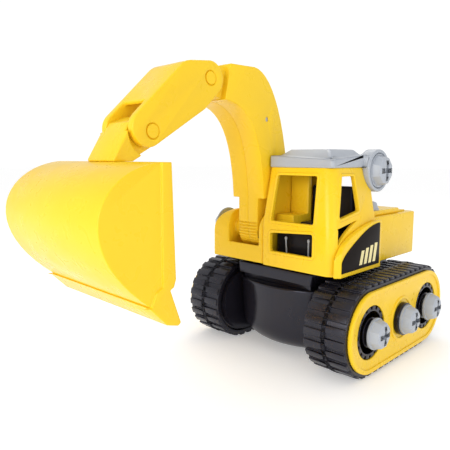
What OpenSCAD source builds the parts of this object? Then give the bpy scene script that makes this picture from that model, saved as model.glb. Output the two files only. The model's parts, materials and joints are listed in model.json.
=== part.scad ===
// Toy excavator: a tracked chassis carries a slewing house with a cab, a boom, a stick and a bucket.
// X points forwards to the bucket, Y to the cab side and Z up, in millimetres.
// The model is drawn round the slewing axis and then moved, so that the origin lies
// under the middle of the whole toy, on the ground.

/* [Tracks] */
// Distance between the front and rear wheel axles
wheel_base = 67.6; // [56:0.1:82]
// Height of the wheel axles above the ground
axle_z = 25; // [21:0.5:30]
// Width of the chassis between the two track frames
chassis_w = 60; // [52:1:74]
// Width of a belt
belt_w = 24.7; // [20:0.1:30]
// Thickness of a belt without its cleats
belt_t = 2.4; // [1.6:0.1:3]
// Height of a cleat above the belt
cleat_h = 1.3; // [0.8:0.1:2]
// Number of cleats in each of a belt's two rows
cleat_count = 44; // [30:1:50]
// Length of a cleat along the belt
cleat_l = 3.8; // [3:0.1:5]
// Thickness of a track frame's plate
frame_t = 3; // [2:0.1:4]
// Radius of a wheel's hub ring
hub_r = 14; // [12:0.1:16]
// Radius of the frame bosses that the wheels turn on
axle_boss_r = 6; // [5:0.1:7]

/* [Chassis] */
// Radius of the belly bowl at its rim
bowl_r = 49; // [46:0.5:56]
// Ground clearance under the bowl
bowl_clear = 4; // [3:0.5:8]
// Length of the deck on top of the bowl
deck_len = 88.6; // [74:0.2:94]
// Width of the deck
deck_w = 54.4; // [46:0.2:58]
// Height of the deck's side
deck_h = 6.7; // [5:0.1:9]
// Outer radius of the slewing ring
ring_r = 24; // [20:0.5:26]
// Thickness of the slewing ring
ring_h = 1.4; // [1:0.1:3]

/* [House] */
// Distance from the slewing axis to the front of the cab
cab_front = 48.3; // [44:0.1:58]
// Distance from the slewing axis to the back of the house
house_back = 57.6; // [48:0.1:68]
// Half width of the house at the cab skirt and at the pod
house_half = 46.7; // [44:0.1:56]
// Half width of the house behind the cab
back_half = 40.1; // [36:0.1:44]
// Height of the rear body
back_h = 27.2; // [23:0.2:32]
// Height of the raised hood panel
hood_h = 3.1; // [2:0.1:5]
// Thickness of the house's walls
wall = 2; // [1.6:0.1:2.4]

/* [Cab] */
// Distance from the slewing axis to the back of the cab
cab_back = 2.6; // [2:0.1:6]
// Height of the cab from the house's base to the roof
cab_h = 56.7; // [52:0.1:68]
// Height at which the cab's walls begin to lean in
cab_knee = 24; // [20:0.5:28]
// How far the cab's front leans back at the roof
cab_rake = 7.1; // [4:0.1:8]
// How far the cab's side leans in at the roof
cab_lean = 6.2; // [3:0.1:7]
// Radius of the cab's front left corner
cab_corner = 6; // [4:0.5:8]
// Thickness of the roof slab
roof_t = 6.2; // [5:0.1:8]
// Height of the roof's raised middle
roof_step = 4; // [3:0.1:5]
// Radius of the ring boss on the roof
boss_r = 12.3; // [11.5:0.1:15]
// How far the window bezels stand proud of the cab
bezel_h = 0.5; // [0.3:0.1:0.8]

/* [Boom] */
// Sideways place of the arm's middle plane
arm_y = -18.3; // [-19:0.1:-18]
// Forward reach from the foot pivot to the elbow
boom_reach = 55.1; // [46:0.1:67]
// Rise from the foot pivot to the elbow
boom_rise = 83.2; // [70:0.1:100]
// Width of the boom over its side plates
boom_w = 24.6; // [22:0.1:24.6]
// Width of the boom's foot
foot_w = 15; // [12:0.1:16]
// Radius of the boom's foot round its pivot
foot_r = 12.3; // [11:0.1:13]
// Thickness of the boom's walls
boom_wall = 2; // [1.5:0.1:2.4]

/* [Stick] */
// Forward reach from the elbow to the bucket pin
stick_reach = 36.7; // [31:0.1:45]
// Drop from the elbow to the bucket pin
stick_drop = 28; // [24:0.1:34]
// Width of the stick over its cheeks
stick_w = 26; // [24:0.1:31]
// Gap between the stick's cheeks
stick_gap = 17.8; // [16:0.1:20]
// Thickness of the stick's cover
cover_t = 2.2; // [1.8:0.1:2.6]
// Radius of the elbow pin and of the bucket pin
pin_r = 3.2; // [2.6:0.1:3.6]

/* [Bucket] */
// Width of the bucket
bucket_w = 84; // [66:0.5:84.5]
// Depth of the bucket from its mouth to its back
bucket_depth = 33.4; // [28:0.1:42]
// Height of the bucket from its top to its lip
bucket_h = 68.2; // [58:0.1:72]
// Thickness of the bucket's wall
bucket_t = 1.8; // [1.4:0.1:2.4]
// Width of the bucket's lug below the stick
lug_w = 22.6; // [18:0.1:25]
// How strongly the bucket's back bulges
bucket_bulge = 16.5; // [13:0.5:18]

/* [Screws] */
// Radius of a track screw's head
screw_r = 8.4; // [7:0.1:9]
// Height of a track screw's head
screw_h = 6.4; // [5.4:0.1:8]
// Radius of a large screw's shank
shank_r = 2.6; // [2.2:0.1:3]
// Width of the cross recess in a screw head
cross_w = 2.4; // [1.6:0.1:3]
// Radius of the boom screw's wide head
boom_screw_r = 12; // [9:0.5:12.5]
// Thickness of the collar behind a track's middle screw
collar_t = 2.9; // [2:0.1:3.4]

/* [Fits] */
// Radial clearance of a turning shaft in its bore
run_fit = 0.08; // [0.04:0.01:0.1]
// Gap between pieces that move past each other
gap = 0.4; // [0.3:0.05:0.5]

/* [Hidden] */
$fn = 64;

yellow = [0.98, 0.80, 0.13];
black = [0.10, 0.10, 0.12];
grey = [0.72, 0.74, 0.77];

// Overlap that joins two shapes of one solid
eps = 0.05;
// Distance that a cut runs past a face
cut = 1;

// Tracks: distances from the middle plane
side_y = chassis_w / 2;
frame_y = side_y + frame_t;
belt_in = frame_y - 0.6;
belt_out = belt_in + belt_w;
cover_in = belt_out + 0.3;
cover_out = cover_in + 1.2;
hub_out = cover_out - gap;
head_y = cover_out + 1.6;
skirt_in = cover_in - 7;
drum_out = skirt_in - gap;
boss_out = belt_in + 15.6;
belt_r = axle_z - cleat_h;
belt_in_r = belt_r - belt_t;
cover_r = belt_r - 1.8;
drum_r = belt_in_r - 0.5;
frame_r = belt_in_r - 1.8;
cleat_run = 2 * wheel_base + 2 * PI * belt_r;

// Chassis and house heights
deck_top = 2 * axle_z + 1.9;
bowl_top = deck_top - deck_h - 3.2;
base_z = deck_top + ring_h + gap;
pan_t = 2.2;
pan_top = base_z + pan_t;
pan_half = back_half - wall;
slew_r = 3.3;
slew_head_z = pan_top + 2.2 + gap;
back_z = base_z + back_h;
knee_z = base_z + cab_knee;
roof_z = base_z + cab_h;
cab_half = house_half - 3.5;
cab_right = arm_y + boom_w / 2 + 0.6;
skirt_y = cab_half + 0.3;
skirt_back = cab_back + 1.1;

// The boom's foot pivot, the elbow and the bucket pin, seen from the side
pivot = [cab_front - 14.8, base_z + 18.8];
elbow = pivot + [boom_reach, boom_rise];
bucket_pivot = elbow + [stick_reach, -stick_drop];
pod_front = pivot[0] + foot_r + 1.1;
pod_r = foot_r - 0.6;
pod_corner = 15;
slot_lo = arm_y - boom_w / 2 - 3.2;
slot_hi = cab_right - 3.6;
lip_z = base_z + 10.3;
tray_z = pan_top + 0.3;
tongue_w = stick_gap - 2 * gap;
elbow_r = 8.6;
tongue_r = elbow_r - cover_t - 0.3;

// Bucket outline, seen from the side and measured from the bucket pin
mouth_x = 13.5;
top_dz = -13.8;
back_x = mouth_x + bucket_depth;
lip_dz = top_dz - bucket_h;

// Roof and its boss
roof_boss = [-2.1, roof_z - 1.9];
roof_left = cab_half - cab_lean + 0.6;
roof_right = cab_right - 0.1;
roof_front = cab_front - cab_rake + 0.6;
boss_y = cab_half - 2.2;
boss_pocket = 1.6;

// Seat tub and cab fittings
tub_top = knee_z - 3;
seat_right = cab_right + 16;
seat_left = cab_half - 12;

// Distance that puts the origin under the middle of the toy
swing_x = -((bucket_pivot[0] + back_x) - (wheel_base / 2 + axle_z)) / 2;

function arc(c, r, a0, a1, n) = ellipse_arc(c, r, r, a0, a1, n);
function ellipse_arc(c, rx, rz, a0, a1, n) =
    [for (i = [0:n]) c + [rx * cos(a0 + (a1 - a0) * i / n), rz * sin(a0 + (a1 - a0) * i / n)]];
function bezier(p, n) = [for (i = [0:n]) let (t = i / n, s = 1 - t)
    s * s * s * p[0] + 3 * s * s * t * p[1] + 3 * s * t * t * p[2] + t * t * t * p[3]];

module at_swing() {
    translate([swing_x, 0, 0]) children();
}

// Extrudes an outline in X and Z from y0 to y1
module across(y0, y1) {
    translate([0, y1, 0]) rotate([90, 0, 0]) linear_extrude(y1 - y0) children();
}

// Extrudes an outline in Y and Z from x0 to x1
module along(x0, x1) {
    translate([x0, 0, 0]) rotate([90, 0, 90]) linear_extrude(x1 - x0) children();
}

module rod_y(x, z, y0, y1, r) {
    translate([x, y1, z]) rotate([90, 0, 0]) cylinder(r = r, h = y1 - y0);
}

module box(lo, hi) {
    translate(lo) cube(hi - lo);
}

module round_box(lo, hi, r) {
    translate([lo[0], lo[1], lo[2]]) linear_extrude(hi[2] - lo[2]) union() {
        translate([r, 0]) square([hi[0] - lo[0] - 2 * r, hi[1] - lo[1]]);
        translate([0, r]) square([hi[0] - lo[0], hi[1] - lo[1] - 2 * r]);
        for (x = [r, hi[0] - lo[0] - r], y = [r, hi[1] - lo[1] - r]) translate([x, y]) circle(r);
    }
}

// A screw with a faceted tapered head, its seat at z = 0 and its shank going down
module screw(head_r, head_h, r, length, taper = 0.88) {
    difference() {
        union() {
            intersection() {
                cylinder(r1 = head_r, r2 = head_r * taper, h = head_h);
                rotate([0, 0, 22.5]) cylinder(r = head_r * 1.04, h = head_h, $fn = 8);
            }
            translate([0, 0, -length]) cylinder(r = r, h = length + eps);
        }
        for (turn = [0, 90]) rotate([0, 0, turn])
            translate([-head_r * 0.55, -cross_w / 2, head_h * 0.6]) cube([head_r * 1.1, cross_w, head_h]);
    }
}

// Puts a screw's axis along Y with its head facing the given side
module screw_y(x, z, seat_y, side) {
    translate([x, seat_y, z]) rotate([-90 * side, 0, 0]) children();
}

module on_side(side) {
    mirror([0, side < 0 ? 1 : 0, 0]) children();
}

// --- Chassis ---

module bowl_outline(inset, top) {
    low = bowl_clear + inset;
    foot = bowl_r - 2 - inset;
    polygon(concat(
        [[0, low]],
        arc([foot - 14, low + 14], 14, -90, 0, 10),
        [[bowl_r - inset, top], [0, top]]));
}

module belly_bowl() color(black) difference() {
    union() {
        difference() {
            intersection() {
                rotate_extrude() bowl_outline(0, bowl_top);
                box([-bowl_r, -side_y, 0], [bowl_r, side_y, bowl_top]);
            }
            intersection() {
                rotate_extrude() bowl_outline(2.2, bowl_top - 2);
                box([-bowl_r, -side_y + 2.2, 0], [bowl_r, side_y - 2.2, bowl_top]);
            }
        }
        for (side = [-1, 1]) on_side(side) frame_bolt_places() rod_y(0, 0, side_y - 6, side_y - 1, 3.6);
    }
    translate([0, 0, bowl_top - 3]) cylinder(r = 12, h = 5);
    for (side = [-1, 1]) on_side(side) frame_bolt_places() rod_y(0, 0, side_y - 5, side_y + cut, 1.5);
}

module frame_bolt_places() {
    for (x = [-9, 9], z = [-10, 10]) translate([x, 0, axle_z + z]) children();
}

module frame_bolts() color(grey) for (side = [-1, 1]) on_side(side)
    frame_bolt_places() union() {
        rod_y(0, 0, frame_y, frame_y + 1.8, 2.6);
        rod_y(0, 0, side_y - 4.5, frame_y + eps, 1.5);
    }

module deck_plate() color(black) difference() {
    union() {
        difference() {
            round_box([-deck_len / 2, -deck_w / 2, deck_top - deck_h],
                [deck_len / 2, deck_w / 2, deck_top], 1.5);
            box([-deck_len / 2 + 2.2, -deck_w / 2 + 2.2, deck_top - deck_h - cut],
                [deck_len / 2 - 2.2, deck_w / 2 - 2.2, deck_top - 2.2]);
        }
        difference() {
            box([-deck_len / 2 + 3, -deck_w / 2 + 2.2, bowl_top],
                [deck_len / 2 - 3, deck_w / 2 - 2.2, deck_top - 2]);
            box([-deck_len / 2 + 5, -deck_w / 2 + 4.4, bowl_top - cut],
                [deck_len / 2 - 5, deck_w / 2 - 4.4, deck_top - 1.9]);
        }
        translate([0, 0, bowl_top - 8]) cylinder(r = 7, h = deck_top - bowl_top + 8);
    }
    translate([0, 0, bowl_top - 9]) cylinder(r = slew_r, h = deck_top - bowl_top + 10);
}

module slew_ring() color(black) translate([0, 0, deck_top]) difference() {
    cylinder(r = ring_r, h = ring_h);
    translate([0, 0, -cut]) cylinder(r = ring_r - 8, h = ring_h + 2 * cut);
}

module slew_screw() color(grey) translate([0, 0, slew_head_z])
    screw(7, 4, slew_r, slew_head_z - bowl_top + 6);

// --- Tracks, drawn on the left and mirrored ---

module stadium(r) {
    translate([-wheel_base / 2, 0]) circle(r);
    translate([wheel_base / 2, 0]) circle(r);
    square([wheel_base, 2 * r], center = true);
}

module track_outline(y0, y1, r) {
    across(y0, y1) translate([0, axle_z]) stadium(r);
}

// The places where a track screw holds: front, middle and rear
module track_places() {
    for (x = [-wheel_base / 2, 0, wheel_base / 2]) translate([x, 0, 0]) children();
}

module track_frame() {
    difference() {
        union() {
            track_outline(side_y, frame_y, frame_r);
            track_places() rod_y(0, axle_z, frame_y - cut, boss_out, axle_boss_r);
        }
        track_places() rod_y(0, axle_z, side_y + 1, boss_out + cut, shank_r);
        frame_bolt_places() rod_y(0, 0, side_y - cut, frame_y + cut, 1.5);
    }
}

module track_frame_left() color(black) on_side(1) track_frame();
module track_frame_right() color(black) on_side(-1) track_frame();

// Puts a child on the belt's path, a given distance round from the top rear, with its own Z pointing out
module on_path(s) {
    turn = PI * belt_r;
    if (s < wheel_base)
        translate([-wheel_base / 2 + s, 0, axle_z + belt_r]) children();
    else if (s < wheel_base + turn)
        translate([wheel_base / 2, 0, axle_z]) rotate([0, (s - wheel_base) / belt_r * 180 / PI, 0])
            translate([0, 0, belt_r]) children();
    else if (s < 2 * wheel_base + turn)
        translate([wheel_base / 2 - (s - wheel_base - turn), 0, axle_z - belt_r])
            rotate([0, 180, 0]) children();
    else
        translate([-wheel_base / 2, 0, axle_z])
            rotate([0, 180 + (s - 2 * wheel_base - turn) / belt_r * 180 / PI, 0])
            translate([0, 0, belt_r]) children();
}

// A cleat is a little lower where the belt bends, so that its flat top stays within the track's outline
module cleat(s, y0, y1) {
    turn = PI * belt_r;
    flat = s < wheel_base || (s > wheel_base + turn - eps && s < 2 * wheel_base + turn);
    box([-cleat_l / 2, y0, -0.8], [cleat_l / 2, y1, flat ? cleat_h : cleat_h - 0.1]);
}

module belt() {
    pitch = cleat_run / cleat_count;
    half = belt_w / 2;
    difference() {
        union() {
            track_outline(belt_in, belt_out, belt_r);
            for (i = [0:cleat_count - 1]) {
                on_path(i * pitch) cleat(i * pitch, belt_in + 0.3, belt_in + half + 1);
                on_path((i + 0.5) * pitch) cleat((i + 0.5) * pitch, belt_out - half - 1, belt_out - 0.3);
            }
        }
        track_outline(belt_in - cut, belt_out + cut, belt_in_r);
    }
}

module belt_left() color(black) on_side(1) belt();
module belt_right() color(black) on_side(-1) belt();

module track_cover() {
    difference() {
        union() {
            track_outline(cover_in, cover_out, cover_r);
            track_outline(cover_out - eps, cover_out + 0.8, cover_r);
            difference() {
                track_outline(skirt_in, cover_in + eps, belt_in_r);
                track_outline(skirt_in - cut, cover_in, belt_in_r - 1.8);
            }
            rod_y(0, axle_z, boss_out, cover_out, axle_boss_r + 1);
        }
        difference() {
            track_outline(cover_out, cover_out + 2, cover_r - 2.4);
            rod_y(0, axle_z, cover_out - cut, cover_out + 2, screw_r + 4.4);
        }
        rod_y(0, axle_z, cover_out, cover_out + 2, screw_r + 2.8);
        for (x = [-1, 1]) rod_y(x * wheel_base / 2, axle_z, cover_in - cut, cover_out + 2, hub_r + gap);
        rod_y(0, axle_z, boss_out - cut, cover_out + 2, shank_r);
    }
}

module track_cover_left() color(yellow) on_side(1) track_cover();
module track_cover_right() color(yellow) on_side(-1) track_cover();

// The middle screw seats on the cover, the outer two stand just clear of the turning hubs
module track_screws() {
    for (x = [-1, 1]) screw_y(x * wheel_base / 2, axle_z, head_y, 1)
        screw(screw_r, screw_h, shank_r, head_y - side_y - 3);
    screw_y(0, axle_z, cover_out + collar_t, 1)
        screw(screw_r, screw_h, shank_r, cover_out + collar_t - side_y - 3);
}

module cover_collars() color(black) for (side = [-1, 1]) on_side(side) difference() {
    rod_y(0, axle_z, cover_out, cover_out + collar_t, screw_r + 0.9);
    rod_y(0, axle_z, cover_out - cut, cover_out + collar_t + cut, shank_r);
}

module track_screws_left() color(grey) on_side(1) track_screws();
module track_screws_right() color(grey) on_side(-1) track_screws();

module wheel(x) translate([x, 0, axle_z]) {
    difference() {
        union() {
            rod_y(0, 0, frame_y + 0.5, drum_out, drum_r);
            rod_y(0, 0, drum_out - eps, hub_out, hub_r);
        }
        difference() {
            rod_y(0, 0, drum_out - 6, hub_out + cut, hub_r - 2.6);
            rod_y(0, 0, drum_out - 7, hub_out + 2 * cut, screw_r - 0.4);
        }
        difference() {
            rod_y(0, 0, frame_y, drum_out - 8, drum_r - 2.4);
            rod_y(0, 0, frame_y - cut, drum_out, axle_boss_r + 2.4);
        }
        rod_y(0, 0, frame_y, boss_out + gap, axle_boss_r + run_fit);
        rod_y(0, 0, boss_out, hub_out + cut, shank_r + gap);
        for (i = [0:15]) rotate([0, i * 22.5, 0])
            box([hub_r - 1.6, hub_out - 1.4, -0.9], [hub_r + cut, hub_out + cut, 0.9]);
    }
}

module wheel_front_left() color(black) on_side(1) wheel(wheel_base / 2);
module wheel_rear_left() color(black) on_side(1) wheel(-wheel_base / 2);
module wheel_front_right() color(black) on_side(-1) wheel(wheel_base / 2);
module wheel_rear_right() color(black) on_side(-1) wheel(-wheel_base / 2);

// --- House ---

module floor_pan() color(black) difference() {
    union() {
        round_box([-house_back + wall, -pan_half, base_z], [cab_back - 0.2, pan_half, pan_top], 3);
        box([cab_back - 1, cab_right + 2.4, base_z], [cab_back + 8, pan_half, pan_top]);
        round_box([cab_back + 2.4, cab_right + 2.4, base_z], [cab_front - 2.4, cab_half - 2.4, pan_top],
            cab_corner - 2.2);
        box([cab_back - 1, -pan_half, base_z], [pivot[0] + 8, cab_right - 2.6, pan_top]);
        translate([0, 0, base_z]) cylinder(r = 9, h = pan_t + 2.2);
    }
    translate([0, 0, base_z - cut]) cylinder(r = slew_r + run_fit, h = pan_t + 2.2 + 2 * cut);
}

// Side view of the pod: rounded about the boom's pivot, falling back to the rear body
module pod_side(inset) {
    low = base_z - (inset > 0 ? cut : 0);
    polygon(concat(
        [[-house_back + 20, low], [pod_front - inset, low]],
        arc([pod_front - pod_r, pivot[1]], pod_r - inset, 0, 90, 12),
        [[14, pivot[1] + pod_r - inset], [6, back_z - inset], [-house_back + 20, back_z - inset]]));
}

// Front view of the pod, with its outer top edge rounded
module pod_end(inset) {
    top = pivot[1] + pod_r + 1;
    polygon(concat(
        [[-house_half + inset, base_z - cut], [cab_right - 0.3 - inset, base_z - cut],
         [cab_right - 0.3 - inset, top]],
        arc([-house_half + pod_corner, pivot[1] + pod_r - pod_corner], pod_corner - inset, 90, 180, 12)));
}

module pod_block(inset, front, back) {
    intersection() {
        across(-house_half, 0) pod_side(inset);
        along(back, front) pod_end(inset);
    }
}

module house_shell() color(yellow) difference() {
    union() {
        difference() {
            union() {
                round_box([-house_back, -back_half, base_z], [cab_back - 0.3, back_half, back_z], 5);
                pod_block(0, pod_front, -wall);
            }
            round_box([-house_back + wall, -back_half + wall, base_z - cut],
                [cab_back - 0.3 - wall, back_half - wall, back_z - wall], 3);
            box([-10, -pan_half, base_z - cut], [10, cab_right - 3, back_z - wall]);
            pod_block(wall, pod_front - wall, 0);
        }
        // Walls and floor of the slot that the boom's foot stands in
        intersection() {
            pod_block(0, pod_front, 8);
            union() {
                box([10, slot_lo - wall, tray_z], [pod_front, slot_lo + eps, roof_z]);
                box([10, slot_hi - eps, tray_z], [pod_front, cab_right - 0.3, roof_z]);
                box([10, slot_lo - wall, tray_z], [pod_front, cab_right - 0.3, tray_z + 1.4]);
                box([10, slot_lo - wall, tray_z], [12, cab_right - 0.3, roof_z]);
            }
        }
        rod_y(pivot[0], pivot[1], slot_lo - eps, arm_y - foot_w / 2 - gap, 7);
        rod_y(pivot[0], pivot[1], arm_y + foot_w / 2 + gap, slot_hi + eps, 7);
        rod_y(pivot[0], pivot[1], -house_half + 0.5, slot_lo - 1, 6);
    }
    difference() {
        box([12, slot_lo, lip_z], [pod_front + cut, slot_hi, roof_z]);
        rod_y(pivot[0], pivot[1], slot_lo - cut, arm_y - foot_w / 2 - gap, 7);
        rod_y(pivot[0], pivot[1], arm_y + foot_w / 2 + gap, slot_hi + cut, 7);
    }
    box([12, slot_lo, tray_z + 1.4], [pod_front - 1.4, slot_hi, lip_z + eps]);
    rod_y(pivot[0], pivot[1], -house_half - cut, cab_right - 1.5, shank_r + 0.6);
    // Room for the floor pan and for the slewing screw
    box([cab_back - wall - 1, -pan_half, base_z - cut], [cab_back + cut, pan_half, pan_top + 0.2]);
    translate([0, 0, base_z - cut]) cylinder(r = 9 + gap, h = 11);
    hood_places() translate([0, 0, back_z - 4]) cylinder(r = shank_r, h = 6);
}

// Footprint of the cab at a height, with its front left corner rounded wide
module cab_slab(z, h, x0, x1, y0, y1, inset) {
    r = max(cab_corner - inset, 1);
    small = max(2.5 - inset, 0.5);
    for (p = [[x0 + small, y0 + small, small], [x1 - small, y0 + small, small],
              [x0 + small, y1 - small, small], [x1 - r, y1 - r, r]])
        translate([p[0], p[1], z]) cylinder(r = p[2], h = h, $fn = 32);
}

module cab_body(inset) {
    over = inset > 0 ? cut : 0;
    back = cab_back + inset;
    right = cab_right + inset;
    hull() {
        cab_slab(base_z - over, cab_knee + over, back, cab_front - inset, right, cab_half - inset, inset);
        cab_slab(roof_z - 0.2, 0.2 + over, back, cab_front - cab_rake - inset, right,
            cab_half - cab_lean - inset, inset);
    }
}

// The upper and the lower front window
module front_windows() {
    soft_corners() polygon([[cab_right + 6.6, knee_z + 2.5], [cab_half - 13, knee_z + 2.5],
        [cab_half - 14.9, roof_z - 4.4], [cab_right + 7, roof_z - 4.4]]);
    soft_corners() polygon([[cab_right + 6.8, base_z + 9], [cab_half - 13, base_z + 9],
        [cab_half - 13, knee_z - 2.5], [cab_right + 6.8, knee_z - 4.4]]);
}

// Rounds the corners of a window
module soft_corners() {
    offset(r = 1.2, $fn = 24) offset(delta = -1.2) children();
}

// The upper side window
module side_window() {
    soft_corners() polygon([[cab_back + 18.2, knee_z + 9.2], [cab_front - 6.2, knee_z + 5.9],
             [cab_front - 14.5, roof_z - 4.6], [cab_back + 18.9, roof_z - 4.6]]);
}

module cab_frame() color(yellow) difference() {
    union() {
        cab_body(0);
        // Bezels round the windows
        intersection() {
            cab_body(-bezel_h);
            union() {
                along(cab_front - 12, cab_front + 1) offset(delta = 1.6) front_windows();
                across(cab_half - 12, cab_half + 1) offset(delta = 1.6) side_window();
            }
        }
    }
    cab_body(2.2);
    along(cab_front - 12, cab_front + 1 + cut) front_windows();
    across(cab_half - 12, cab_half + 1 + cut) side_window();
    // Lower side window, which follows the skirt's arch
    across(cab_half - 6, cab_half + cut) difference() {
        polygon([[cab_back + 21.8, knee_z + 4.2], [cab_front - 4.6, knee_z + 1.2],
                 [cab_front - 4.6, base_z + 12], [cab_back + 21.8, base_z + 12]]);
        skirt_outline(0);
    }
    // Rear window
    along(cab_back - cut, cab_back + 4) polygon([
        [cab_right + 19.4, knee_z + 9], [cab_half - 14, knee_z + 9],
        [cab_half - 15.4, roof_z - 5], [cab_right + 19.4, roof_z - 5]]);
    // Room for the roof's boss, the floor pan and the slewing screw
    rod_y(roof_boss[0], roof_boss[1], cab_half - 11, cab_half + cut, boss_r + 0.3);
    box([cab_back - cut, cab_right + 2.2, base_z - cut], [cab_back + 3, pan_half, pan_top + 0.2]);
    translate([0, 0, base_z - cut]) cylinder(r = 9 + gap, h = 11);
}

// The arch above the skirt
module skirt_outline(inset) {
    intersection() {
        polygon(concat(
            [[skirt_back + inset, base_z + inset]],
            ellipse_arc([skirt_back + inset, base_z], 47 - 2 * inset, cab_knee + 7 - 1.6 * inset,
                0, 90, 24)));
        translate([skirt_back + inset, base_z + inset])
            square([cab_front - skirt_back - 2 * inset, cab_knee + 20]);
    }
}

module side_skirt() color(yellow) difference() {
    across(skirt_y, house_half) skirt_outline(0);
    across(skirt_y - cut, house_half - 1.6) skirt_outline(2.2);
    translate([cab_front, house_half, base_z - cut]) cylinder(r = 2.5, h = 40, $fn = 4);
}

module badge_plate() color(black) across(house_half, house_half + 0.4) skirt_outline(2.6);

module hood_panel() color(yellow) difference() {
    union() {
        round_box([-house_back + 16, -back_half + 4, back_z],
            [cab_back - 2, back_half - 4, back_z + hood_h], 3);
        round_box([-house_back + 4, -back_half + 6, back_z],
            [-house_back + 14, back_half - 6, back_z + 0.9], 2);
    }
    box([-3, -back_half, back_z - cut], [cab_back, cab_right, back_z + hood_h + cut]);
    hood_places() translate([0, 0, back_z - 1]) cylinder(r = shank_r, h = hood_h + 3);
}

module hood_places() {
    translate([-13, 28, 0]) children();
}

module hood_screw() color(grey) hood_places() translate([0, 0, back_z + hood_h])
    screw(7, 5.3, shank_r, hood_h + 3.6);

// Post of the roof slab at one corner, with its own height
module roof_post(x, y, h) {
    translate([x, y, roof_z]) cylinder(r = 2, h = h, $fn = 32);
}

module roof() color(grey) difference() {
    union() {
        // Slab, lowest at its front left corner
        hull() {
            roof_post(roof_front - 2, roof_right + 2, roof_t + 0.4);
            roof_post(roof_front - 2, roof_left - 2, roof_t - 1.8);
            roof_post(cab_back - 1, roof_left - 2, roof_t + 1);
            roof_post(cab_back - 1, roof_right + 2, roof_t + 1);
        }
        // Crowned panel on the slab
        hull() {
            round_box([cab_back + 0.4, roof_right + 2.6, roof_z + 1],
                [roof_front - 4, roof_left - 4, roof_z + roof_t - 0.4], 2);
            round_box([cab_back + 3, roof_right + 8, roof_z + 1],
                [roof_front - 9, roof_left - 9, roof_z + roof_t + roof_step], 2);
        }
        rod_y(roof_boss[0], roof_boss[1], cab_half - 10, boss_y, boss_r);
        box([cab_back - 3, roof_left - 6, roof_z], [roof_boss[0] + boss_r, boss_y - 1, roof_z + roof_t]);
    }
    rod_y(roof_boss[0], roof_boss[1], boss_y - boss_pocket, house_half, boss_r - 2.1);
    rod_y(roof_boss[0], roof_boss[1], cab_half - 12, house_half, shank_r);
}

module roof_screw() color(grey) screw_y(roof_boss[0], roof_boss[1], boss_y - boss_pocket, 1)
    screw(boss_r - 2.5, 6.6, shank_r, 5, 0.76);

module seat_base() color(black)
    round_box([cab_back + 8, cab_right + 3, pan_top], [cab_front - 9.5, cab_half - 3, tub_top], 3);

module seat_cushion() color(black) union() {
    round_box([cab_back + 14, seat_right, tub_top], [cab_back + 31, seat_left, tub_top + 4.4], 2);
    round_box([cab_back + 11, seat_right - 2, tub_top],
        [cab_back + 16.4, cab_half - 6.9, tub_top + 25], 2);
}

// An armrest along the cab's right side and the upright panel behind it
module console() color(yellow) union() {
    box([cab_back + 18, cab_right + 2.6, tub_top], [cab_front - 10, seat_right - 0.6, knee_z + 5.3]);
    box([cab_back + 18, cab_right + 2.6, tub_top], [cab_back + 21.4, seat_right - 0.6, roof_z - 4.4]);
}

module control_levers() color(grey) for (y = [cab_right + 14, cab_half - 20]) union() {
    translate([cab_front - 6.6, y, pan_top]) cylinder(r = 0.8, h = knee_z - pan_top - 8, $fn = 24);
    translate([cab_front - 6.6, y, knee_z - 8.6]) sphere(r = 1.4, $fn = 32);
}

module boom_screw() color(grey) screw_y(pivot[0], pivot[1], -house_half, -1)
    screw(boom_screw_r, 6, shank_r + 0.6, cab_right - 1.6 + house_half);

// --- Boom, seen from its foot pivot ---

// Outline of the side plates
module boom_plate() {
    tip = elbow - pivot;
    polygon(concat(
        [tip + [-11.1, -9.7], tip + [-15.1, 9.3]],
        bezier([tip + [-30.6, 9.7], tip + [-45.6, 12.3], [-6.5, tip[1] - 9.7], [1 - foot_r, 19.5]], 14),
        bezier([[foot_r, 19.5], [15, tip[1] - 17.7], tip + [-24.6, -10.7], tip + [-11.1, -9.7]], 14)));
}

// Outline of the foot below the plates
module boom_foot() {
    circle(foot_r);
    polygon([[-foot_r, 0], [foot_r, 0], [foot_r, 19.5], [foot_r - 0.8, 30],
             [3 - foot_r, 30], [1 - foot_r, 19.5]]);
}

module boom_tongue() {
    tip = elbow - pivot;
    translate(tip) circle(tongue_r);
    polygon([tip + [-16, 9.1], tip + [-12, -9.4], tip + [-tongue_r * 0.35, -tongue_r * 0.93],
             tip + [0, tongue_r], tip + [-2, tongue_r]]);
}

module boom_half() {
    half = boom_w / 2;
    tip = elbow - pivot;
    difference() {
        union() {
            across(0, half) boom_plate();
            across(0, foot_w / 2) boom_foot();
            across(0, tongue_w / 2) boom_tongue();
        }
        across(-cut, half - boom_wall) difference() {
            offset(delta = -boom_wall) boom_plate();
            translate(tip) circle(12);
            boom_bolt_spots() circle(3.4);
        }
        across(-cut, foot_w / 2 - boom_wall) difference() {
            translate([2 - foot_r + boom_wall, 8]) square([2 * foot_r - 3 - 2 * boom_wall, 20]);
            boom_bolt_spots() circle(3.4);
        }
        rod_y(0, 0, -cut, half + cut, shank_r + 0.6 + run_fit);
        rod_y(tip[0], tip[1], -cut, half + cut, pin_r + run_fit);
        boom_bolt_spots_3d() rod_y(0, 0, -cut, half + cut, 1.3);
        // Grip grooves across the foot
        for (z = [-6.3:1.8:4.5])
            box([(z < 0 ? sqrt(foot_r * foot_r - z * z) : foot_r) - 0.4, -cut, z - 0.35],
                [foot_r + cut, half, z + 0.35]);
    }
}

module boom_bolt_spots() {
    translate([1.5, 34]) children();
    translate([10, boom_rise - 18]) children();
}

module boom_bolt_spots_3d() {
    translate([1.5, 0, 34]) children();
    translate([10, 0, boom_rise - 18]) children();
}

module at_boom() {
    translate([pivot[0], arm_y, pivot[1]]) children();
}

module boom_half_left() color(yellow) at_boom() boom_half();
module boom_half_right() color(yellow) at_boom() mirror([0, 1, 0]) boom_half();

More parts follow.
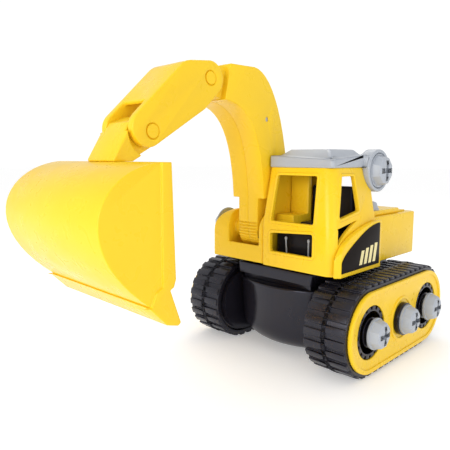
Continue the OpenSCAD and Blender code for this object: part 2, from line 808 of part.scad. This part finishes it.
module boom_bolts() color(grey) at_boom() boom_bolt_spots_3d() union() {
    rod_y(0, 0, -boom_w / 2 - 0.9, -boom_w / 2, 2.4);
    rod_y(0, 0, -boom_w / 2 - eps, boom_w / 2 - 0.6, 1.3);
}

// --- Stick, seen from the elbow ---

module stick_side() {
    hull() {
        circle(elbow_r);
        translate([stick_reach - 25.3, -4.8]) circle(12);
        translate([stick_reach + 2.3, 1.4 - stick_drop]) circle(8.8);
        translate([6.9, -11.7]) circle(5);
    }
}

module at_elbow() {
    translate([elbow[0], arm_y, elbow[1]]) children();
}

module stick_shell() color(yellow) at_elbow() difference() {
    slope = atan2(stick_drop, stick_reach);
    across(-stick_w / 2, stick_w / 2) stick_side();
    // Room between the cheeks, under the cover
    across(-stick_gap / 2, stick_gap / 2) union() {
        offset(delta = -cover_t) stick_side();
        rotate(48) translate([0, -40]) square([6, 80]);
        rotate(48) translate([-40, -40]) square([41, 80]);
        translate([0, -60]) square([20, 50]);
    }
    // Open underside and notch for the bucket's lug
    across(-stick_gap / 2, stick_gap / 2) translate([stick_reach, -stick_drop]) rotate(-slope) union() {
        translate([-8, -30]) square([60, 60]);
        translate([-60, -40]) square([80, 36]);
    }
    rod_y(0, 0, -stick_w, stick_w, pin_r);
    rod_y(stick_reach, -stick_drop, -stick_w, stick_w, pin_r);
    for (side = [-1, 1]) on_side(side) {
        rod_y(0, 0, stick_w / 2 - 0.6, stick_w, pin_r + 0.5);
        rod_y(stick_reach, -stick_drop, stick_w / 2 - 0.6, stick_w, pin_r + 0.5);
    }
}

module pin(x, z) {
    rod_y(x, z, -stick_w / 2, stick_w / 2, pin_r);
}

module elbow_pin() color(yellow) at_elbow() pin(0, 0);
module bucket_pin() color(yellow) at_elbow() pin(stick_reach, -stick_drop);

// --- Bucket, seen from its pin ---

module at_bucket() {
    translate([bucket_pivot[0], arm_y, bucket_pivot[1]]) children();
}

module lug_side() {
    hull() {
        circle(7.4);
        translate([8.4, 2.2]) circle(2.2);
        translate([mouth_x - 3.5, top_dz]) square([10, 1]);
    }
}

// The lug is wider where it has cleared the stick's cheeks
module bucket_lug() color(yellow) at_bucket() difference() {
    union() {
        across(-tongue_w / 2, tongue_w / 2) lug_side();
        across(-lug_w / 2, lug_w / 2) difference() {
            lug_side();
            circle(12.2);
        }
    }
    rod_y(0, 0, -20, 20, pin_r + run_fit);
}

// Closed outline of the bucket's side, with the lip plate at its foot
module bucket_side() {
    polygon(concat(
        [[mouth_x, top_dz]],
        bezier([[mouth_x + 5.5, top_dz], [back_x - 1.5, top_dz - 2.7], [back_x + bucket_bulge, top_dz - 28],
            [mouth_x + 10.7, lip_dz + 10.3]], 22),
        [[mouth_x + 12.2, lip_dz + 10.6], [mouth_x + 3.3, lip_dz + 1.6], [mouth_x - 2.6, lip_dz],
         [mouth_x - 4.1, lip_dz + 1.1], [mouth_x + 1.3, lip_dz + 15.9], [mouth_x - 0.6, lip_dz + 16.9],
         [mouth_x - 1.7, lip_dz + 20.2]]));
}

// Where the bucket's side is thick: round the mouth and along the lip plate
module bucket_band() {
    polygon([[mouth_x - 10, top_dz + 5], [mouth_x + 5, top_dz + 5], [mouth_x + 5, lip_dz + 17.7],
        [mouth_x + 8.5, lip_dz + 16.1], [mouth_x + 10.7, lip_dz + 10.3], [mouth_x + 14, lip_dz + 10],
        [mouth_x + 14, lip_dz - 5], [mouth_x - 10, lip_dz - 5]]);
}

module bucket_shell() color(yellow) at_bucket() {
    half = bucket_w / 2;
    difference() {
        union() {
            across(-half, half) bucket_side();
            across(-half - 1.2, half + 1.2) intersection() {
                bucket_side();
                bucket_band();
            }
        }
        across(-half + bucket_t, half - bucket_t) difference() {
            union() {
                offset(delta = -bucket_t) bucket_side();
                polygon([[mouth_x - 20, top_dz - bucket_t], [mouth_x + 6, top_dz - bucket_t],
                    [mouth_x + 9, lip_dz + 14], [mouth_x - 3, lip_dz + 2], [mouth_x - 20, lip_dz + 2]]);
            }
            // The lip plate stays solid
            polygon([[mouth_x + 14, lip_dz + 12.7], [mouth_x + 9.5, lip_dz + 12.7], [mouth_x + 1.2, lip_dz + 4.6],
                [mouth_x - 10, lip_dz + 2.6], [mouth_x - 10, lip_dz - 5], [mouth_x + 14, lip_dz - 5]]);
        }
    }
}

at_swing() belly_bowl();
at_swing() deck_plate();
at_swing() slew_ring();
at_swing() slew_screw();
at_swing() track_frame_left();
at_swing() track_frame_right();
at_swing() belt_left();
at_swing() belt_right();
at_swing() track_cover_left();
at_swing() track_cover_right();
at_swing() track_screws_left();
at_swing() track_screws_right();
at_swing() cover_collars();
at_swing() frame_bolts();
at_swing() wheel_front_left();
at_swing() wheel_rear_left();
at_swing() wheel_front_right();
at_swing() wheel_rear_right();
at_swing() floor_pan();
at_swing() house_shell();
at_swing() cab_frame();
at_swing() side_skirt();
at_swing() badge_plate();
at_swing() hood_panel();
at_swing() hood_screw();
at_swing() roof();
at_swing() roof_screw();
at_swing() seat_base();
at_swing() seat_cushion();
at_swing() console();
at_swing() control_levers();
at_swing() boom_screw();
at_swing() boom_half_left();
at_swing() boom_half_right();
at_swing() boom_bolts();
at_swing() stick_shell();
at_swing() elbow_pin();
at_swing() bucket_pin();
at_swing() bucket_lug();
at_swing() bucket_shell();
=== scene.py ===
"""Looks of the toy excavator: rounded mouldings and belts, screws, sticker, levers and plastics."""
import json
import math

import bpy
from mathutils import Matrix, Vector


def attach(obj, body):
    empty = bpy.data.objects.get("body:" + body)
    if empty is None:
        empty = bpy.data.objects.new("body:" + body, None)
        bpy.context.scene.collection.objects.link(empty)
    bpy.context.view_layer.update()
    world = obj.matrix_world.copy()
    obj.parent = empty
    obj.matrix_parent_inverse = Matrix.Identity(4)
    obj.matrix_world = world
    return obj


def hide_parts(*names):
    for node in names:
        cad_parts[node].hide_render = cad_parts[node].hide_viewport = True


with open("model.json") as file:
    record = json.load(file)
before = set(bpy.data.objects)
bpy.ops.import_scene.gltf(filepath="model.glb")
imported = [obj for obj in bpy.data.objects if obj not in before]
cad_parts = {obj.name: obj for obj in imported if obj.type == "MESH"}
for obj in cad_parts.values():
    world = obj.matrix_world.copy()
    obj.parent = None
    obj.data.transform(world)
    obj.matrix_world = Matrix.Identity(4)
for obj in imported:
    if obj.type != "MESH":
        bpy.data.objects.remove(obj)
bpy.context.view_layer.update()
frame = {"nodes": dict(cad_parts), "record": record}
scene = bpy.context.scene

# The camera and the lamps are placed in metres, the toy's pieces in millimetres.
MM = 0.001
# The slewing axis, from which places further forward are counted.
SWING_X = -56.7

# ---------------------------------------------------------------- camera and studio

CAMERA_PLACE = (0.2051, 0.1768, 0.1153)
CAMERA_YAW = -2.358
CAMERA_PITCH = -0.119
CAMERA_ROLL = -0.002


def set_camera():
    turn = (math.pi / 2 + CAMERA_PITCH, CAMERA_ROLL, CAMERA_YAW - math.pi / 2)
    bpy.ops.object.camera_add(location=CAMERA_PLACE, rotation=turn)
    camera = bpy.context.object
    camera.data.sensor_width = 36
    camera.data.lens = 38.84
    camera.data.shift_x = 0.0013
    camera.data.shift_y = -0.0187
    camera.data.clip_start = 0.01
    camera.data.clip_end = 20
    scene.camera = camera


def softbox(place, target, width, height, power):
    """A rectangular lamp at a place, turned towards a target."""
    bpy.ops.object.light_add(type="AREA", location=place)
    lamp = bpy.context.object
    lamp.data.shape = "RECTANGLE"
    lamp.data.size = width
    lamp.data.size_y = height
    lamp.data.energy = power
    lamp.rotation_euler = (Vector(target) - Vector(place)).to_track_quat("-Z", "Y").to_euler()


def set_world():
    """A white surround that is brighter round the horizon than overhead."""
    world = bpy.data.worlds.new("studio")
    world.use_nodes = True
    nodes, links = world.node_tree.nodes, world.node_tree.links
    shader = nodes["Background"]
    shader.inputs["Color"].default_value = (1, 1, 1, 1)
    place = nodes.new("ShaderNodeTexCoord")
    split = nodes.new("ShaderNodeSeparateXYZ")
    links.new(place.outputs["Generated"], split.inputs["Vector"])
    fall = nodes.new("ShaderNodeMapRange")
    fall.inputs["From Min"].default_value = 0.0
    fall.inputs["From Max"].default_value = 0.8
    fall.inputs["To Min"].default_value = 0.91
    fall.inputs["To Max"].default_value = 0.73
    links.new(split.outputs["Z"], fall.inputs["Value"])
    path = nodes.new("ShaderNodeLightPath")
    seen = nodes.new("ShaderNodeMix")
    seen.data_type = "FLOAT"
    seen.inputs[3].default_value = 1.05
    links.new(path.outputs["Is Camera Ray"], seen.inputs[0])
    links.new(fall.outputs["Result"], seen.inputs[2])
    links.new(seen.outputs[0], shader.inputs["Strength"])
    scene.world = world


def set_studio():
    scene.view_settings.view_transform = "Standard"
    set_world()
    middle = (0, 0, 0.08)
    softbox((0.80, 0.10, 0.30), middle, 0.40, 0.40, 2.7)
    softbox((0.12, 0.85, 0.26), middle, 0.5, 0.4, 0.6)
    softbox((-0.45, -0.35, 0.75), middle, 0.5, 0.5, 1.4)


set_camera()
set_studio()

# ---------------------------------------------------------------- materials


def new_group(name, inputs, outputs):
    group = bpy.data.node_groups.new(name, "ShaderNodeTree")
    for label, kind, value in inputs:
        socket = group.interface.new_socket(name=label, in_out="INPUT", socket_type=kind)
        socket.default_value = value
    for label, kind in outputs:
        group.interface.new_socket(name=label, in_out="OUTPUT", socket_type=kind)
    start = group.nodes.new("NodeGroupInput")
    end = group.nodes.new("NodeGroupOutput")
    return group, start, end


def moulded_surface():
    """Faint mottling of the colour, uneven gloss and the orange peel that a mould leaves."""
    group, start, end = new_group(
        "moulded_surface",
        [("Light", "NodeSocketColor", (1, 1, 1, 1)), ("Deep", "NodeSocketColor", (1, 1, 1, 1)),
         ("Gloss Low", "NodeSocketFloat", 0.2), ("Gloss High", "NodeSocketFloat", 0.3),
         ("Grain Size", "NodeSocketFloat", 900.0), ("Grain Depth", "NodeSocketFloat", 0.1)],
        [("Color", "NodeSocketColor"), ("Roughness", "NodeSocketFloat"), ("Normal", "NodeSocketVector")])
    nodes, links = group.nodes, group.links
    place = nodes.new("ShaderNodeTexCoord")
    cloud = nodes.new("ShaderNodeTexNoise")
    cloud.inputs["Scale"].default_value = 45
    cloud.inputs["Detail"].default_value = 3
    links.new(place.outputs["Object"], cloud.inputs["Vector"])
    colour = nodes.new("ShaderNodeMix")
    colour.data_type = "RGBA"
    links.new(cloud.outputs["Fac"], colour.inputs[0])
    links.new(start.outputs["Light"], colour.inputs[6])
    links.new(start.outputs["Deep"], colour.inputs[7])
    smear = nodes.new("ShaderNodeTexNoise")
    smear.inputs["Scale"].default_value = 120
    smear.inputs["Detail"].default_value = 4
    smear.inputs["Distortion"].default_value = 0.6
    links.new(place.outputs["Object"], smear.inputs["Vector"])
    gloss = nodes.new("ShaderNodeMapRange")
    gloss.inputs["From Min"].default_value = 0.3
    gloss.inputs["From Max"].default_value = 0.7
    links.new(smear.outputs["Fac"], gloss.inputs["Value"])
    links.new(start.outputs["Gloss Low"], gloss.inputs["To Min"])
    links.new(start.outputs["Gloss High"], gloss.inputs["To Max"])
    peel = nodes.new("ShaderNodeTexNoise")
    peel.inputs["Detail"].default_value = 2
    links.new(place.outputs["Object"], peel.inputs["Vector"])
    links.new(start.outputs["Grain Size"], peel.inputs["Scale"])
    bump = nodes.new("ShaderNodeBump")
    bump.inputs["Distance"].default_value = 0.0002
    links.new(peel.outputs["Fac"], bump.inputs["Height"])
    links.new(start.outputs["Grain Depth"], bump.inputs["Strength"])
    links.new(colour.outputs[2], end.inputs["Color"])
    links.new(gloss.outputs["Result"], end.inputs["Roughness"])
    links.new(bump.outputs["Normal"], end.inputs["Normal"])
    return group


MOULDED = moulded_surface()


def plastic(name, light, deep, gloss, grain_size, grain_depth, specular=0.5):
    """A moulded material whose colour drifts between two tones and whose roughness is uneven."""
    material = bpy.data.materials.new(name)
    material.use_nodes = True
    nodes, links = material.node_tree.nodes, material.node_tree.links
    shader = nodes["Principled BSDF"]
    surface = nodes.new("ShaderNodeGroup")
    surface.node_tree = MOULDED
    surface.inputs["Light"].default_value = (*light, 1)
    surface.inputs["Deep"].default_value = (*deep, 1)
    surface.inputs["Gloss Low"].default_value = gloss[0]
    surface.inputs["Gloss High"].default_value = gloss[1]
    surface.inputs["Grain Size"].default_value = grain_size
    surface.inputs["Grain Depth"].default_value = grain_depth
    links.new(surface.outputs["Color"], shader.inputs["Base Color"])
    links.new(surface.outputs["Roughness"], shader.inputs["Roughness"])
    links.new(surface.outputs["Normal"], shader.inputs["Normal"])
    shader.inputs["Specular IOR Level"].default_value = specular
    return material


YELLOW = plastic("yellow_abs", (0.94, 0.625, 0.018), (0.90, 0.58, 0.014), (0.24, 0.36), 1100, 0.10, 0.3)
GREY = plastic("grey_abs", (0.43, 0.46, 0.51), (0.38, 0.41, 0.46), (0.28, 0.40), 1300, 0.12)
BLACK = plastic("black_abs", (0.012, 0.011, 0.016), (0.008, 0.007, 0.011), (0.16, 0.26), 1200, 0.08, 0.45)
RUBBER = plastic("belt_rubber", (0.014, 0.013, 0.018), (0.009, 0.008, 0.012), (0.22, 0.32), 2600, 0.25, 0.5)
STICKER = plastic(
    "black_sticker", (0.010, 0.006, 0.005), (0.007, 0.004, 0.003), (0.34, 0.44), 3000, 0.05, 0.1)
PRINT = plastic("badge_print", (0.90, 0.80, 0.42), (0.86, 0.74, 0.34), (0.34, 0.46), 3000, 0.05, 0.3)
SEAT = plastic("seat_black", (0.012, 0.012, 0.017), (0.008, 0.008, 0.012), (0.30, 0.45), 1500, 0.15, 0.25)
for cool in (BLACK, RUBBER, SEAT):
    cool.node_tree.nodes["Principled BSDF"].inputs["Specular Tint"].default_value = (0.82, 0.84, 1, 1)
STEEL = plastic("zinc_steel", (0.55, 0.55, 0.55), (0.45, 0.45, 0.45), (0.28, 0.42), 4000, 0.2)
STEEL.node_tree.nodes["Principled BSDF"].inputs["Metallic"].default_value = 1

SLOT_MATERIALS = {
    "yellow_plastic": YELLOW, "grey_plastic": GREY, "black_plastic": BLACK, "belt_rubber": RUBBER,
    "badge_black": STICKER, "seat_black": SEAT, "bolt_steel": STEEL}
NODE_SLOTS = {part["node"]: part["material_slot"] for part in frame["record"]["subparts"]}
BODIES = frame["record"]["behaviour"]["bodies"]
NODE_BODIES = {node: body for body, nodes in BODIES.items() for node in nodes}


def finish_material(piece, material):
    piece.data.materials.clear()
    piece.data.materials.append(material)


for node, thing in frame["nodes"].items():
    finish_material(thing, SLOT_MATERIALS[NODE_SLOTS[node]])

# ---------------------------------------------------------------- tools for shaping pieces


def only(piece):
    """Selects one piece and nothing else."""
    bpy.ops.object.select_all(action="DESELECT")
    piece.select_set(True)
    bpy.context.view_layer.objects.active = piece


def joined(pieces):
    """Joins pieces into the first of them."""
    only(pieces[0])
    for piece in pieces[1:]:
        piece.select_set(True)
    bpy.ops.object.join()
    return pieces[0]


def fix_place(scale=False, rotation=False):
    """Puts the place of the piece just made into its mesh, and its turn and scale if asked."""
    bpy.ops.object.transform_apply(location=True, rotation=rotation, scale=scale)


def pick_points(piece, test):
    """Selects the points of a mesh whose place passes a test, and leaves it open for editing."""
    bpy.ops.object.mode_set(mode="EDIT")
    bpy.ops.mesh.select_mode(type="VERT")
    bpy.ops.mesh.select_all(action="DESELECT")
    bpy.ops.object.mode_set(mode="OBJECT")
    for vertex in piece.data.vertices:
        vertex.select = test(vertex.co)
    bpy.ops.object.mode_set(mode="EDIT")


def pick_faces(piece, test):
    """Selects the faces of a mesh whose middle and normal pass a test, and leaves it open for editing."""
    bpy.ops.object.mode_set(mode="EDIT")
    bpy.ops.mesh.select_mode(type="FACE")
    bpy.ops.mesh.select_all(action="DESELECT")
    bpy.ops.object.mode_set(mode="OBJECT")
    for face in piece.data.polygons:
        face.select = test(face.center, face.normal)
    bpy.ops.object.mode_set(mode="EDIT")


def merged_copy(node):
    """A copy of a node's mesh as one closed surface, with its flat faces made whole."""
    source = frame["nodes"][node]
    piece = bpy.data.objects.new(node + "_moulded", source.data.copy())
    scene.collection.objects.link(piece)
    only(piece)
    bpy.ops.mesh.customdata_custom_splitnormals_clear()
    bpy.ops.object.mode_set(mode="EDIT")
    bpy.ops.mesh.select_all(action="SELECT")
    bpy.ops.mesh.remove_doubles(threshold=0.002 * MM)
    bpy.ops.mesh.dissolve_limited(angle_limit=math.radians(0.6))
    bpy.ops.object.mode_set(mode="OBJECT")
    return piece


def round_edges(piece, radius, segments=3, angle=35):
    """Rounds every edge sharper than an angle, and shades the piece smooth up to it."""
    only(piece)
    bevel = piece.modifiers.new("rounding", "BEVEL")
    bevel.width = radius * MM
    bevel.segments = segments
    bevel.limit_method = "ANGLE"
    bevel.angle_limit = math.radians(angle)
    bevel.use_clamp_overlap = False
    bpy.ops.object.modifier_apply(modifier="rounding")
    bpy.ops.object.shade_smooth_by_angle(angle=math.radians(angle))
    return piece


def stand_for(node, piece):
    """Keeps a piece in the place of a node, with that node's body and finish."""
    piece.name = node + "_moulded"
    finish_material(piece, SLOT_MATERIALS[NODE_SLOTS[node]])
    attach(piece, NODE_BODIES[node])
    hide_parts(node)


EDGE_RADII = {
    "house_shell": 0.8, "cab_frame": 0.35, "hood_panel": 0.8, "roof": 0.8,
    "boom_half_left": 0.4, "boom_half_right": 0.4, "stick_shell": 0.6, "bucket_lug": 0.6,
    "bucket_shell": 0.5, "deck_plate": 0.4, "belly_bowl": 1.0, "seat_base": 0.8,
    "seat_cushion": 1.2, "console": 0.5, "track_cover_left": 0.3, "track_cover_right": 0.3,
    "belt_left": 0.3, "belt_right": 0.3, "floor_pan": 0.3, "slew_ring": 0.3,
    "cover_collars": 0.3, "wheel_front_left": 0.25, "wheel_rear_left": 0.25,
    "wheel_front_right": 0.25, "wheel_rear_right": 0.25}
for node, radius in EDGE_RADII.items():
    stand_for(node, round_edges(merged_copy(node), radius))

# ---------------------------------------------------------------- skirt and sticker

BASE_Z = 53.7
SKIRT_BACK = 3.7
BADGE_MARGIN = 2.6
BADGE_LENGTH = 42
BADGE_FACE_Y = 47.14
BAR_WIDTH = 2.9
BAR_PITCH = 4.8
BAR_LEAN = -2.2
BAR_THICKNESS = 0.12


def lower_columns(piece, factor):
    """Scales a piece's height column by column, by a factor of how far forward the column lies."""
    columns = sorted({round(vertex.co.x / MM - SWING_X, 1) for vertex in piece.data.vertices})
    for column in columns:
        pick_points(piece, lambda place: abs(place.x / MM - SWING_X - column) < 0.06)
        bpy.ops.transform.resize(value=(1, 1, factor(column)), center_override=(0, 0, BASE_Z * MM))
        bpy.ops.object.mode_set(mode="OBJECT")


def skirt_factor(forward):
    """The skirt is lower behind, and nearly keeps its height at the front."""
    return 0.872 + 0.108 * min(max((forward - 25) / 18, 0), 1) ** 2


def badge_factor(forward):
    """The sticker's arch is lowered most in its front half."""
    reach = (forward - SKIRT_BACK - BADGE_MARGIN) / BADGE_LENGTH
    return 0.965 - 0.125 * math.sin(math.pi * min(max(reach, 0), 1) ** 2)


skirt = merged_copy("side_skirt")
lower_columns(skirt, skirt_factor)
stand_for("side_skirt", round_edges(skirt, 0.5))
badge = merged_copy("badge_plate")
lower_columns(badge, badge_factor)
stand_for("badge_plate", round_edges(badge, 0.12, 2))


def sticker_bar(left, low, high):
    """One slanted printed bar, standing a hair proud of the sticker."""
    bpy.ops.object.select_all(action="DESELECT")
    middle = ((left + BAR_WIDTH / 2 + SWING_X) * MM, BADGE_FACE_Y * MM, (low + high) / 2 * MM)
    bpy.ops.mesh.primitive_cube_add(size=1, location=middle,
                                    scale=(BAR_WIDTH * MM, BAR_THICKNESS * MM, (high - low) * MM))
    bar = bpy.context.object
    fix_place(scale=True)
    pick_points(bar, lambda place: place.z > middle[2])
    bpy.ops.transform.translate(value=(BAR_LEAN * MM, 0, 0))
    bpy.ops.object.mode_set(mode="OBJECT")
    return bar


bars = joined([sticker_bar(11.2 + BAR_PITCH * step, 58.2, 68.6 - 0.9 * step) for step in range(4)])
bars.name = "badge_bars"
finish_material(bars, PRINT)
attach(bars, "house")

# ---------------------------------------------------------------- screws

AXLE_X = 33.8
AXLE_Z = 25
HUB_FACE_Y = 60.2
COLLAR_FACE_Y = 61.5
SIDE_HEAD = (8.4, 6.4)
SHANK_END_Y = 33
THIN_SHANK = 2.6


def crossed_head():
    """A head one unit in radius and height: a round foot, eight tapering flats and a domed face."""
    bpy.ops.object.select_all(action="DESELECT")
    bpy.ops.mesh.primitive_cylinder_add(vertices=48, radius=1, depth=0.2, location=(0, 0, 0.1))
    foot = bpy.context.object
    fix_place()
    bpy.ops.object.select_all(action="DESELECT")
    bpy.ops.mesh.primitive_cone_add(vertices=8, radius1=0.985, radius2=0.80, depth=0.72,
                                    location=(0, 0, 0.5), rotation=(0, 0, math.radians(22.5)))
    flats = bpy.context.object
    fix_place(rotation=True)
    pick_faces(flats, lambda middle, normal: normal.z > 0.9)
    bpy.ops.mesh.extrude_region_move(TRANSFORM_OT_translate={"value": (0, 0, 0.09)})
    bpy.ops.transform.resize(value=(0.80, 0.80, 1), center_override=(0, 0, 0.95))
    bpy.ops.mesh.extrude_region_move(TRANSFORM_OT_translate={"value": (0, 0, 0.045)})
    bpy.ops.transform.resize(value=(0.62, 0.62, 1), center_override=(0, 0, 0.99))
    bpy.ops.object.mode_set(mode="OBJECT")
    for turn in (0, math.pi / 2):
        bpy.ops.object.select_all(action="DESELECT")
        bpy.ops.mesh.primitive_cube_add(size=1, location=(0, 0, 0.98), rotation=(0, 0, turn),
                                        scale=(1.16, 0.27, 0.62))
        slot = bpy.context.object
        fix_place(rotation=True, scale=True)
        only(flats)
        bite = flats.modifiers.new("cross", "BOOLEAN")
        bite.operation = "DIFFERENCE"
        bite.solver = "EXACT"
        bite.object = slot
        bpy.ops.object.modifier_apply(modifier="cross")
        bpy.data.objects.remove(slot)
    # The head is still in units, so this bevel is 0.018 of its radius.
    return round_edges(joined([flats, foot]), 18, 2, 20)


HEAD = crossed_head()


def screw_part(head_size, seat, towards, shank_radius, shank_length):
    """A copy of the head on a shank, its seat at a place and its face towards a direction."""
    radius, height = head_size
    head = bpy.data.objects.new("head", HEAD.data.copy())
    scene.collection.objects.link(head)
    bpy.ops.object.select_all(action="DESELECT")
    bpy.ops.mesh.primitive_cylinder_add(vertices=24, radius=shank_radius, depth=shank_length + 0.4,
                                        location=(0, 0, 0.2 - shank_length / 2), end_fill_type="NGON")
    shank = bpy.context.object
    fix_place()
    head.data.transform(Matrix.Diagonal((radius, radius, height, 1)))
    turn = Vector(towards).to_track_quat("Z", "X").to_matrix().to_4x4()
    place = Matrix.Translation(Vector(seat) * MM) @ turn @ Matrix.Scale(MM, 4)
    for thing in (head, shank):
        thing.data.transform(place)
    joined([head, shank])
    bpy.ops.object.shade_smooth_by_angle(angle=math.radians(28))
    return head


def side_screw(forward, side, face):
    """A screw of a track cover, whose shank runs in to the track frame."""
    seat = (SWING_X + forward, side * face, AXLE_Z)
    return screw_part(SIDE_HEAD, seat, (0, side, 0), THIN_SHANK, face - SHANK_END_Y)


for side, word in ((1, "left"), (-1, "right")):
    places = ((-AXLE_X, HUB_FACE_Y), (AXLE_X, HUB_FACE_Y), (0, COLLAR_FACE_Y))
    stand_for(f"track_screws_{word}", joined([side_screw(x, side, face) for x, face in places]))
stand_for("hood_screw", screw_part((7, 5.3), (SWING_X - 13, 28, 84), (0, 0, 1), THIN_SHANK, 6.7))
stand_for("roof_screw", screw_part((9.8, 6.6), (SWING_X - 2.1, 39.4, 108.5), (0, 1, 0), THIN_SHANK, 5))
stand_for("boom_screw", screw_part((10.8, 5), (SWING_X + 33.5, -46.7, 72.5), (0, -1, 0), 3.2, 39.7))
bpy.data.objects.remove(HEAD)

# ---------------------------------------------------------------- levers


LEVER_X = SWING_X + 41.7
LEVER_FOOT = 55.9
LEVER_TIP = 69


def lever(left, lean):
    """A thin stalk that swells into a small grip."""
    bpy.ops.object.select_all(action="DESELECT")
    middle = (LEVER_X * MM, left * MM, (LEVER_FOOT + LEVER_TIP) / 2 * MM)
    bpy.ops.mesh.primitive_cylinder_add(vertices=16, radius=0.45 * MM, depth=(LEVER_TIP - LEVER_FOOT) * MM,
                                        location=middle)
    stalk = bpy.context.object
    fix_place()
    centre = (LEVER_X * MM, left * MM, LEVER_TIP * MM)
    pick_faces(stalk, lambda middle, normal: normal.z > 0.9)
    for rise, swell in ((0.5, 1.7), (1.0, 1.0), (0.5, 0.5)):
        bpy.ops.mesh.extrude_region_move(TRANSFORM_OT_translate={"value": (0, 0, rise * MM)})
        bpy.ops.transform.resize(value=(swell, swell, 1), center_override=centre)
    bpy.ops.object.mode_set(mode="OBJECT")
    pick_faces(stalk, lambda middle, normal: middle.z > (LEVER_TIP - 1) * MM)
    bpy.ops.transform.translate(value=(0, lean * MM, 0))
    bpy.ops.object.mode_set(mode="OBJECT")
    only(stalk)
    bpy.ops.object.shade_smooth_by_angle(angle=math.radians(40))
    return stalk


stand_for("control_levers", joined([lever(8.6, -1.0), lever(23.2, 0)]))

# ---------------------------------------------------------------- floor


def lay_floor():
    """White paper that glows a little, so that it stays white far from the lamps."""
    bpy.ops.mesh.primitive_plane_add(size=12, location=(0, 0, 0))
    floor = bpy.context.object
    floor.name = "floor"
    paper = bpy.data.materials.new("paper_white")
    paper.use_nodes = True
    shader = paper.node_tree.nodes["Principled BSDF"]
    shader.inputs["Base Color"].default_value = (0.93, 0.93, 0.93, 1)
    shader.inputs["Roughness"].default_value = 0.9
    shader.inputs["Emission Color"].default_value = (1, 1, 1, 1)
    shader.inputs["Emission Strength"].default_value = 0.27
    floor.data.materials.append(paper)


lay_floor()
